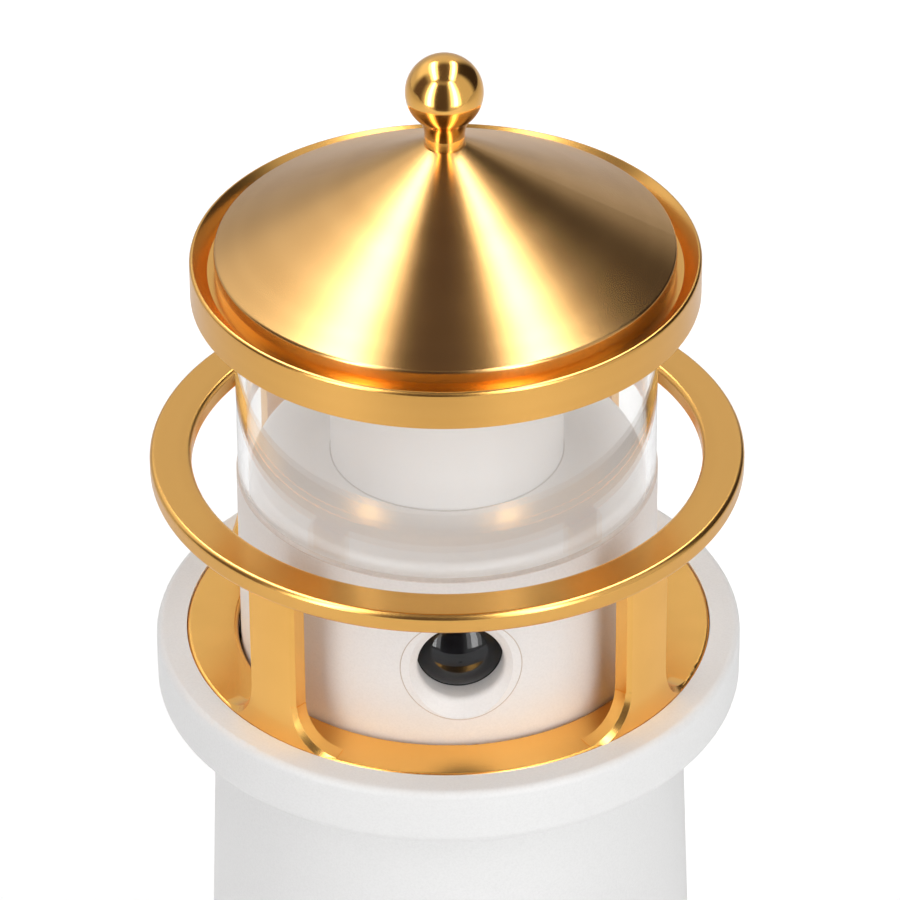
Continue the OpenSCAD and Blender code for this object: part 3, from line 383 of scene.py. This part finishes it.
# %% Materials: glass
def clear_glass(name, colour, ior, haze):
    made, tree, shader = open_material(name)
    clouds = place(tree, bloom, {"Size": 0.015, "Contrast": 2.0})
    shader.inputs["Base Color"].default_value = (*colour, 1)
    shader.inputs["Transmission Weight"].default_value = 1
    shader.inputs["IOR"].default_value = ior
    ranged(tree, clouds.outputs["Mask"], 0, haze, shader.inputs["Roughness"])
    return made


def either_ray(tree, first, second):
    """One for rays of these two kinds, and nothing for all others."""
    path = add(tree, "ShaderNodeLightPath")
    either = add(tree, "ShaderNodeMath", operation="MAXIMUM")
    join(tree, path.outputs[first], either.inputs[0])
    join(tree, path.outputs[second], either.inputs[1])
    return either.outputs[0]


def let_light_in(made, colour):
    """Light that falls through the glass goes straight on, so that what stands inside is lit."""
    tree = made.node_tree
    straight = add(tree, "ShaderNodeBsdfTransparent", values={"Color": (*colour, 1)})
    chosen = add(tree, "ShaderNodeMixShader")
    join(tree, either_ray(tree, "Is Shadow Ray", "Is Diffuse Ray"), chosen.inputs[0])
    join(tree, tree.nodes["Principled BSDF"].outputs[0], chosen.inputs[1])
    join(tree, straight.outputs[0], chosen.inputs[2])
    join(tree, chosen.outputs[0], tree.nodes["Material Output"].inputs["Surface"])


materials["clear_glass"] = clear_glass("clear_glass", (0.99, 0.995, 0.99), 1.49, 0.02)
let_light_in(materials["clear_glass"], (0.99, 0.99, 0.99))
materials["lens_glass"] = clear_glass("lens_glass", (0.13, 0.135, 0.16), 1.45, 0.01)
print("glass:", materials["clear_glass"].name, materials["lens_glass"].name)

# %% [markdown]
# ## Black parts and inner metal
# The lens barrel is matt black inside so that no stray light reaches the wall, the foot ring is
# black rubber, and the circuit boards are dark green. The screws, the motor and the weights are
# plated steel, and the heat sink is milled aluminium. These finishes are plain, but each has its
# own grain.

# %% Materials: black plastic, rubber and board
def grained_plastic(name, hollows, peaks, roughness, grain):
    made, tree, shader = open_material(name)
    skin = place(tree, moulded_skin, {"Grain": grain})
    mixed_colour(tree, skin.outputs["Hollows"], peaks, hollows, shader.inputs["Base Color"])
    ranged(tree, skin.outputs["Height"], roughness - 0.08, roughness + 0.08, shader.inputs["Roughness"])
    bumped(tree, skin.outputs["Height"], 0.00003, 0.5, shader.inputs["Normal"])
    return made


DARK_FINISHES = {
    "black_plastic": ((0.012, 0.012, 0.014), (0.02, 0.02, 0.022), 0.45, 0.0004),
    "black_rubber": ((0.02, 0.02, 0.021), (0.035, 0.035, 0.036), 0.75, 0.0007),
    "board": ((0.01, 0.10, 0.045), (0.015, 0.13, 0.06), 0.35, 0.0012),
}
for name, values in DARK_FINISHES.items():
    materials[name] = grained_plastic(name, *values)
print("dark finishes:", list(DARK_FINISHES))


# %% Materials: plated and milled metal
def bare_metal(name, colour, worn, roughness):
    made, tree, shader = open_material(name)
    lines = place(tree, turned_lines, {"Pitch": 0.0003, "Band": 0.002})
    clouds = place(tree, bloom, {"Size": 0.006, "Contrast": 2.0})
    shader.inputs["Metallic"].default_value = 1
    mixed_colour(tree, clouds.outputs["Mask"], colour, worn, shader.inputs["Base Color"])
    ranged(tree, clouds.outputs["Mask"], roughness - 0.06, roughness + 0.08, shader.inputs["Roughness"])
    bumped(tree, lines.outputs["Height"], 0.00001, 0.3, shader.inputs["Normal"])
    return made


materials["steel"] = bare_metal("steel", (0.52, 0.52, 0.53), (0.62, 0.62, 0.63), 0.32)
materials["aluminium"] = bare_metal("aluminium", (0.70, 0.71, 0.72), (0.78, 0.79, 0.80), 0.38)
print("inner metals:", materials["steel"].name, materials["aluminium"].name)


# %% [markdown]
# ## The battery's sleeve and the light source
# The cell wears a thin blue shrink sleeve, which is glossy plastic. The lamp's light source is a
# yellow phosphor under clear resin, with grains that show through.

# %% Materials: sleeve and phosphor
def glossy_plastic(name, hollows, peaks, roughness, grain):
    made, tree, shader = open_material(name)
    skin = place(tree, moulded_skin, {"Grain": grain})
    shader.inputs["Coat Weight"].default_value = 0.6
    mixed_colour(tree, skin.outputs["Hollows"], peaks, hollows, shader.inputs["Base Color"])
    ranged(tree, skin.outputs["Height"], roughness - 0.04, roughness + 0.04, shader.inputs["Roughness"])
    bumped(tree, skin.outputs["Height"], 0.00002, 0.3, shader.inputs["Normal"])
    return made


GLOSSY_FINISHES = {
    "cell_sleeve": ((0.02, 0.07, 0.24), (0.03, 0.09, 0.30), 0.25, 0.003),
    "led_phosphor": ((0.85, 0.58, 0.10), (0.95, 0.72, 0.20), 0.2, 0.0003),
}
for name, values in GLOSSY_FINISHES.items():
    materials[name] = glossy_plastic(name, *values)
print("all finishes:", len(materials))

# %% [markdown]
# ## Dressing the solids
# The record of the lamp says which finish each solid takes. Going through that list keeps a new
# solid from being left without one. The rail and the roof's rim are the two that take the deeper
# turned gold instead of the roof's paler one.

# %% Give each solid its finish
SATIN = ("gallery_rail", "roof_rim")
for piece in frame["record"]["subparts"]:
    solid = nodes[piece["node"]]
    solid.data.materials.clear()
    finish = "gold_satin" if piece["node"] in SATIN else piece["material_slot"]
    solid.data.materials.append(materials[finish])

# %% [markdown]
# ## The rail, turned finely
# The rail's rounded edge carries the longest highlight in the picture, and a highlight on metal
# shows every facet. The rail from the construction has too few steps for that, so a new one is
# turned to the same outline: a list of points goes round the axis in many fine steps. Each point
# brings its own normal along, which keeps the flats flat and the edges round.

# %% Turn the rail
import bmesh

RAIL_WIDTH = 0.0084
RAIL_EDGE = 0.0011
RAIL_EDGE_STEPS = 10
ROUND_STEPS = 256


def rounded_outline(inner, outer, low, high, edge, steps):
    """Points and normals, as (radius, height), of a ring's section with four rounded edges."""
    corners = ((outer - edge, low + edge, -90), (outer - edge, high - edge, 0),
               (inner + edge, high - edge, 90), (inner + edge, low + edge, 180))
    outline = []
    for radius, height, start in corners:
        for step in range(steps + 1):
            angle = math.radians(start + 90 * step / steps)
            normal = (math.cos(angle), math.sin(angle))
            outline.append(((radius + edge * normal[0], height + edge * normal[1]), normal))
    return outline


def turn_on_lathe(name, outline, steps, finish):
    lathe = bmesh.new()
    rings, normals = [], []
    for step in range(steps):
        angle = math.tau * step / steps
        x, y = math.cos(angle), math.sin(angle)
        rings.append([lathe.verts.new((r * x, r * y, z)) for (r, z), _ in outline])
        normals += [(r * x, r * y, z) for _, (r, z) in outline]
    for ring, following in zip(rings, rings[1:] + rings[:1]):
        for here in range(len(outline)):
            there = (here + 1) % len(outline)
            lathe.faces.new((ring[here], following[here], following[there], ring[there])).smooth = True
    mesh = bpy.data.meshes.new(name)
    lathe.to_mesh(mesh)
    lathe.free()
    mesh.normals_split_custom_set_from_vertices(normals)
    mesh.materials.append(finish)
    turned = bpy.data.objects.new(name, mesh)
    bpy.context.scene.collection.objects.link(turned)
    return turned


rail_low, rail_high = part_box("gallery_rail")
rail_section = rounded_outline(
    rail_high.x - RAIL_WIDTH, rail_high.x, rail_low.z, rail_high.z, RAIL_EDGE, RAIL_EDGE_STEPS)
fine_rail = turn_on_lathe("rail_turned", rail_section, ROUND_STEPS, materials["gold_satin"])
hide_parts("gallery_rail")
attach(fine_rail, "tower")
print("rail:", len(fine_rail.data.polygons), "faces")

# %% [markdown]
# ## Seals and seams
# Three thin lines run round joints. The glass stands on the drum in a fine seal. The lens's dish
# closes against the drum in a hair line, drawn brown: the joint is real, and its darkness is painted
# shade of the gap. A grey line round the foot of the column is painted contact shade where the column
# meets the floor. Both painted lines are paler than real gaps, because light reaches their bottom.

# %% Finishes of the seal and of the two seam lines with painted shade
SEAM_ROUGHNESS = 0.6
SEAM_GRAIN = 0.0006
SEAL_AND_SEAM_SHADE_FINISHES = {
    # Brown line on the dish's joint: the joint is real, and its darkness is painted shade of the gap.
    "dish_seam_shade_brown": ((0.64, 0.55, 0.48), (0.58, 0.50, 0.43)),
    "seal_pale": ((0.80, 0.74, 0.69), (0.74, 0.68, 0.63)),
    # Grey line at the column's foot: painted contact shade where the column meets the floor.
    "column_foot_shade_grey": ((0.74, 0.72, 0.70), (0.68, 0.66, 0.64)),
}
for name, colours in SEAL_AND_SEAM_SHADE_FINISHES.items():
    materials[name] = grained_plastic(name, *colours, SEAM_ROUGHNESS, SEAM_GRAIN)
print("seam finishes:", list(SEAL_AND_SEAM_SHADE_FINISHES))

# %% [markdown]
# The seal and the column's painted shade line are turned on the same lathe as the rail. The foot of
# the glass and the top of the drum lie in one plane, and two faces in one place leave dark specks in a
# render. So the seal lies under the whole width of the glass and reaches a hair into the glass and the
# drum.

# %% Turn the seal and the column's painted shade line
SEAM = 0.00012
SEAL_EDGE = 0.00005
LINE_EDGE = 0.00008
LINE_STEPS = 192
SEAM_EDGE_STEPS = 3

drum_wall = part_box("projector_drum")[1].x
glass_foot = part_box("lantern_glass")[0].z
floor_wall, floor_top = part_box("lantern_floor")[1].x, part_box("lantern_floor")[1].z
column_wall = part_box("lantern_column")[1].x
seal = turn_on_lathe(
    "glass_seal",
    rounded_outline(floor_wall, drum_wall, glass_foot - SEAM, glass_foot + SEAM, SEAL_EDGE, SEAM_EDGE_STEPS),
    ROUND_STEPS, materials["seal_pale"])
# A grey ring of painted contact shade round the column's foot.
column_foot_shade = turn_on_lathe(
    "column_foot_shade",
    rounded_outline(column_wall, column_wall + 2 * SEAM, floor_top, floor_top + 2 * SEAM, LINE_EDGE,
                    SEAM_EDGE_STEPS),
    LINE_STEPS, materials["column_foot_shade_grey"])
for piece in (seal, column_foot_shade):
    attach(piece, "head")
print("seal at", round(glass_foot, 4), "column line at", round(floor_top, 4))

# %% [markdown]
# The dish's line is the joint with painted shade of its gap, and it has to follow the drum's round
# wall. It could be painted on with a mask, but a thin wire holds its width from every side. Its points
# are worked out where the round dish meets the round drum, and a curve with a little thickness goes
# through them.

# %% Lay the dish's line on the drum
DISH_RADIUS = 0.0121
DISH_STEPS = 160

lens_low, lens_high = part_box("projection_lens")
lens_height = (lens_low.z + lens_high.z) / 2
line = bpy.data.curves.new("dish_seam_and_shade", "CURVE")
line.dimensions = "3D"
line.bevel_depth = SEAM
line.bevel_resolution = 2
loop = line.splines.new("POLY")
loop.points.add(DISH_STEPS - 1)
loop.use_cyclic_u = True
for step, point in enumerate(loop.points):
    angle = math.tau * step / DISH_STEPS
    sideways = DISH_RADIUS * math.cos(angle)
    outward = math.sqrt((drum_wall - SEAM / 3) ** 2 - sideways ** 2)
    point.co = (sideways, -outward, lens_height + DISH_RADIUS * math.sin(angle), 1)
dish_curve = bpy.data.objects.new("dish_seam_curve", line)
bpy.context.scene.collection.objects.link(dish_curve)
dish_mesh = bpy.data.meshes.new_from_object(dish_curve)
bpy.data.objects.remove(dish_curve)
dish_mesh.materials.clear()
# The dish's line is brown: painted shade of the gap along the real joint.
dish_mesh.materials.append(materials["dish_seam_shade_brown"])
dish_seam_and_shade = bpy.data.objects.new("dish_seam_and_shade", dish_mesh)
bpy.context.scene.collection.objects.link(dish_seam_and_shade)
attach(dish_seam_and_shade, "head")
print("seams:", len(dish_seam_and_shade.data.polygons), "faces on the dish")

# %% [markdown]
# ## The studio
# A lamp in polished gold shows its surroundings more than itself, and the ball on the roof works
# like a mirror ball: it shows the whole studio. There are four long soft boxes in it. Two stand in
# front, left and right of the camera, and two hang over the lamp and run towards the back. A real
# soft box is brightest in its middle, so each box here has three layers, a centimetre apart, because
# lamps that lie in one plane swallow each other's light. Shiny surfaces see the wide glint and the
# bright narrow core. The gentle third layer only lights the matt shells, which would otherwise burn
# out to plain white.

# %% Hang the soft boxes
AIM_HEIGHT = 0.22
LAYER_GAP = 0.01
CORE_SHARE = 0.4


def soft_box(name, centre, width, length, upright, glint, light, core):
    """A long soft box that faces the roof. Its long side runs up, or else away from the camera."""
    place_at = seen_from_camera(*centre)
    long_side = Vector((0, 0, 1)) if upright else seen_from_camera(0, 1, 0)
    aim = place_at - seen_from_camera(0, 0, AIM_HEIGHT)
    facing = (aim - long_side * aim.dot(long_side)).normalized()
    side = long_side.cross(facing).normalized()
    layers = (("glint", glint, width), ("light", light, width), ("core", core, CORE_SHARE * width))
    for layer, (kind, radiance, across) in enumerate(layers):
        lamp = bpy.data.lights.new(f"{name}_{kind}", "AREA")
        lamp.shape = "RECTANGLE"
        lamp.size = across
        lamp.size_y = length
        lamp.energy = radiance * math.pi * across * length
        hung = bpy.data.objects.new(f"{name}_{kind}", lamp)
        centred = place_at - facing * layer * LAYER_GAP
        axes = Matrix((side, long_side, facing)).transposed()
        hung.matrix_world = Matrix.Translation(centred) @ axes.to_4x4()
        hung.visible_camera = False
        hung.visible_transmission = False
        hung.visible_diffuse = kind == "light"
        hung.visible_glossy = kind != "light"
        bpy.context.scene.collection.objects.link(hung)


soft_box("front_left", (-0.546, -0.585, 0.605), width=0.37, length=1.19, upright=True,
         glint=2.2, light=1.7, core=6.0)
soft_box("front_right", (0.44, -0.683, 0.77), width=0.41, length=1.50, upright=True,
         glint=2.0, light=2.15, core=6.0)
soft_box("over_left", (-0.42, 0.26, 1.12), width=0.37, length=1.22, upright=False,
         glint=1.8, light=1.5, core=7.0)
soft_box("over_right", (0.395, 0.26, 1.18), width=0.32, length=1.34, upright=False,
         glint=2.2, light=2.5, core=7.0)

# %% [markdown]
# Between the boxes the studio is a pale tent with panels of its own brightness: a white backdrop,
# brighter cloth at the sides, and brown dark where the tent is open, above, in front around the
# camera, at the left and at the right. The world paints them. A group turns a direction into a
# soft-edged window by its bearing from the camera and its height, both in degrees.

# %% Group: window in the tent
def build_window():
    group, start, end = open_group(
        "window",
        {"Bearing": 0, "Height": 0, "Half width": 20, "Half height": 30, "Softness": 8},
        {"Mask": "NodeSocketFloat"},
    )
    direction = add(group, "ShaderNodeTexCoord")
    turned = add(group, "ShaderNodeVectorRotate", rotation_type="Z_AXIS")
    turned.inputs["Angle"].default_value = -CAMERA_TURN
    parts = add(group, "ShaderNodeSeparateXYZ")
    towards = add(group, "ShaderNodeMath", operation="MULTIPLY")
    towards.inputs[1].default_value = -1
    bearing = add(group, "ShaderNodeMath", operation="ARCTAN2")
    height = add(group, "ShaderNodeMath", operation="ARCSINE")
    join(group, direction.outputs["Generated"], turned.inputs["Vector"])
    join(group, turned.outputs[0], parts.inputs[0])
    join(group, parts.outputs["Y"], towards.inputs[0])
    join(group, parts.outputs["X"], bearing.inputs[0])
    join(group, towards.outputs[0], bearing.inputs[1])
    join(group, parts.outputs["Z"], height.inputs[0])
    edges = []
    for angle, middle, half in ((bearing, "Bearing", "Half width"), (height, "Height", "Half height")):
        degrees = add(group, "ShaderNodeMath", operation="DEGREES")
        off = add(group, "ShaderNodeMath", operation="SUBTRACT")
        wrapped = add(group, "ShaderNodeMath", operation="WRAP")
        wrapped.inputs[1].default_value = 180
        wrapped.inputs[2].default_value = -180
        away = add(group, "ShaderNodeMath", operation="ABSOLUTE")
        inside = add(group, "ShaderNodeMath", operation="SUBTRACT")
        edge = add(group, "ShaderNodeMath", operation="DIVIDE")
        soft = add(group, "ShaderNodeMapRange", interpolation_type="SMOOTHSTEP",
                   values={"From Min": -1, "From Max": 1})
        join(group, angle.outputs[0], degrees.inputs[0])
        join(group, degrees.outputs[0], off.inputs[0])
        join(group, start.outputs[middle], off.inputs[1])
        join(group, off.outputs[0], wrapped.inputs[0])
        join(group, wrapped.outputs[0], away.inputs[0])
        join(group, start.outputs[half], inside.inputs[0])
        join(group, away.outputs[0], inside.inputs[1])
        join(group, inside.outputs[0], edge.inputs[0])
        join(group, start.outputs["Softness"], edge.inputs[1])
        join(group, edge.outputs[0], soft.inputs["Value"])
        edges.append(soft)
    both = add(group, "ShaderNodeMath", operation="MULTIPLY")
    join(group, edges[0].outputs[0], both.inputs[0])
    join(group, edges[1].outputs[0], both.inputs[1])
    join(group, both.outputs[0], end.inputs["Mask"])
    return group


window = build_window()
print("group:", window.name)

# %% Paint the tent
world = bpy.data.worlds.new("studio tent")
bpy.context.scene.world = world
world.use_nodes = True
tent = world.node_tree
tent.nodes.clear()
REST = 0.68
WHITE, BROWN = (1, 1, 1), (1, 0.78, 0.82)
EDGES = ("Bearing", "Height", "Half width", "Half height", "Softness")
PANELS = {
    "backdrop": ((180, 34, 45, 18, 10), 0.74, WHITE),
    "horizon": ((180, 0, 45, 16, 10), 0.57, WHITE),
    "far left": ((-125, 46, 30, 26, 10), 1.1, WHITE),
    "near right": ((68, 6, 26, 38, 10), 0.7, WHITE),
    "ceiling": ((0, 90, 400, 34, 10), 0.11, BROWN),
    "front opening": ((-8, 4, 21, 48, 6), 0.08, BROWN),
    "left opening": ((-84, 8, 20, 38, 10), 0.12, BROWN),
    "right opening": ((123, 16, 28, 46, 10), 0.04, BROWN),
}
rest = add(tent, "ShaderNodeRGB")
rest.outputs[0].default_value = (REST, REST, REST, 1)
painted_colour = rest.outputs[0]
for name, (values, level, tint) in PANELS.items():
    panel = place(tent, window, dict(zip(EDGES, values)))
    panel.label = name
    cut = add(tent, "ShaderNodeMix", data_type="RGBA")
    cut.inputs[MIX_HIGH].default_value = (*(level * part for part in tint), 1)
    join(tent, panel.outputs["Mask"], cut.inputs[0])
    join(tent, painted_colour, cut.inputs[MIX_LOW])
    painted_colour = cut.outputs[MIX_RESULT]
print("panels of the tent:", list(PANELS))

# %% [markdown]
# The tent is only there to be mirrored and to light the matt shells. The camera itself, and what it
# sees through the glass, get plain white behind the lamp.

# %% Show plain white to the camera
painted = add(tent, "ShaderNodeBackground")
plain = add(tent, "ShaderNodeBackground", values={"Color": (1, 1, 1, 1)})
choose = add(tent, "ShaderNodeMixShader")
sky = add(tent, "ShaderNodeOutputWorld")
join(tent, painted_colour, painted.inputs["Color"])
join(tent, either_ray(tent, "Is Camera Ray", "Is Transmission Ray"), choose.inputs[0])
join(tent, painted.outputs[0], choose.inputs[1])
join(tent, plain.outputs[0], choose.inputs[2])
join(tent, choose.outputs[0], sky.inputs[0])
print("world:", world.name, "with", len(tent.nodes), "nodes")

# %% [markdown]
# The floor is a wide pale sheet that ends a little in front of the lamp, as a table does, so that
# the gold can look past it into the dark of the room. The camera only ever sees it white, but it
# still takes the lamp's shadow: a glow is added for camera rays, faint near the lamp and full far
# away, where little light falls, and the light on the sheet does the rest. Shiny surfaces see
# only a trace of that glow.

# %% Lay the floor
FLOOR_IN_FRONT = 0.45
FLOOR_HALF = 3

sheet = bmesh.new()
bmesh.ops.create_grid(sheet, x_segments=24, y_segments=24, size=FLOOR_HALF)
bmesh.ops.translate(sheet, verts=sheet.verts, vec=(0, FLOOR_HALF - FLOOR_IN_FRONT, 0))
floor_mesh = bpy.data.meshes.new("floor")
sheet.to_mesh(floor_mesh)
sheet.free()
floor = bpy.data.objects.new("floor", floor_mesh)
floor.rotation_euler.z = CAMERA_TURN
bpy.context.scene.collection.objects.link(floor)
print("floor:", len(floor_mesh.polygons), "faces")

# %% The floor's paper and its glow
# Each pair says how far from the lamp, in metres, and how strong the glow is there.
GLOW_NEAR = (0.4, 0.35)
GLOW_FAR = (1.6, 1.0)
GLOW_IN_GLOSS = 0.08

paper, tree, shader = open_material("paper")
grain = place(tree, moulded_skin, {"Grain": 0.004})
mixed_colour(tree, grain.outputs["Hollows"], (0.90, 0.90, 0.90), (0.88, 0.88, 0.88),
             shader.inputs["Base Color"])
shader.inputs["Roughness"].default_value = 0.9
spot = add(tree, "ShaderNodeTexCoord")
reach = add(tree, "ShaderNodeVectorMath", operation="LENGTH")
lift = add(tree, "ShaderNodeMapRange", values={
    "From Min": GLOW_NEAR[0], "From Max": GLOW_FAR[0], "To Min": GLOW_NEAR[1], "To Max": GLOW_FAR[1]})
path = add(tree, "ShaderNodeLightPath")
watched = add(tree, "ShaderNodeMath", operation="MULTIPLY_ADD")
watched.inputs[1].default_value = GLOW_IN_GLOSS
level = add(tree, "ShaderNodeMath", operation="MULTIPLY")
glow = add(tree, "ShaderNodeEmission", values={"Color": (1, 1, 1, 1)})
both = add(tree, "ShaderNodeAddShader")
join(tree, spot.outputs["Object"], reach.inputs[0])
join(tree, reach.outputs["Value"], lift.inputs["Value"])
join(tree, path.outputs["Is Glossy Ray"], watched.inputs[0])
join(tree, either_ray(tree, "Is Camera Ray", "Is Transmission Ray"), watched.inputs[2])
join(tree, watched.outputs[0], level.inputs[0])
join(tree, lift.outputs[0], level.inputs[1])
join(tree, level.outputs[0], glow.inputs["Strength"])
join(tree, shader.outputs[0], both.inputs[0])
join(tree, glow.outputs[0], both.inputs[1])
join(tree, both.outputs[0], tree.nodes["Material Output"].inputs["Surface"])
floor_mesh.materials.append(paper)
print("paper:", len(tree.nodes), "nodes")

# %% [markdown]
# ## The view
# Every colour above is written as it should look, so the plain standard view shows it unchanged. A
# filmic view would soften the highlights, but it would also grey the white paper.

# %% Choose the view
bpy.context.scene.view_settings.view_transform = "Standard"
print("view:", bpy.context.scene.view_settings.view_transform)

# %% The last cell
import json
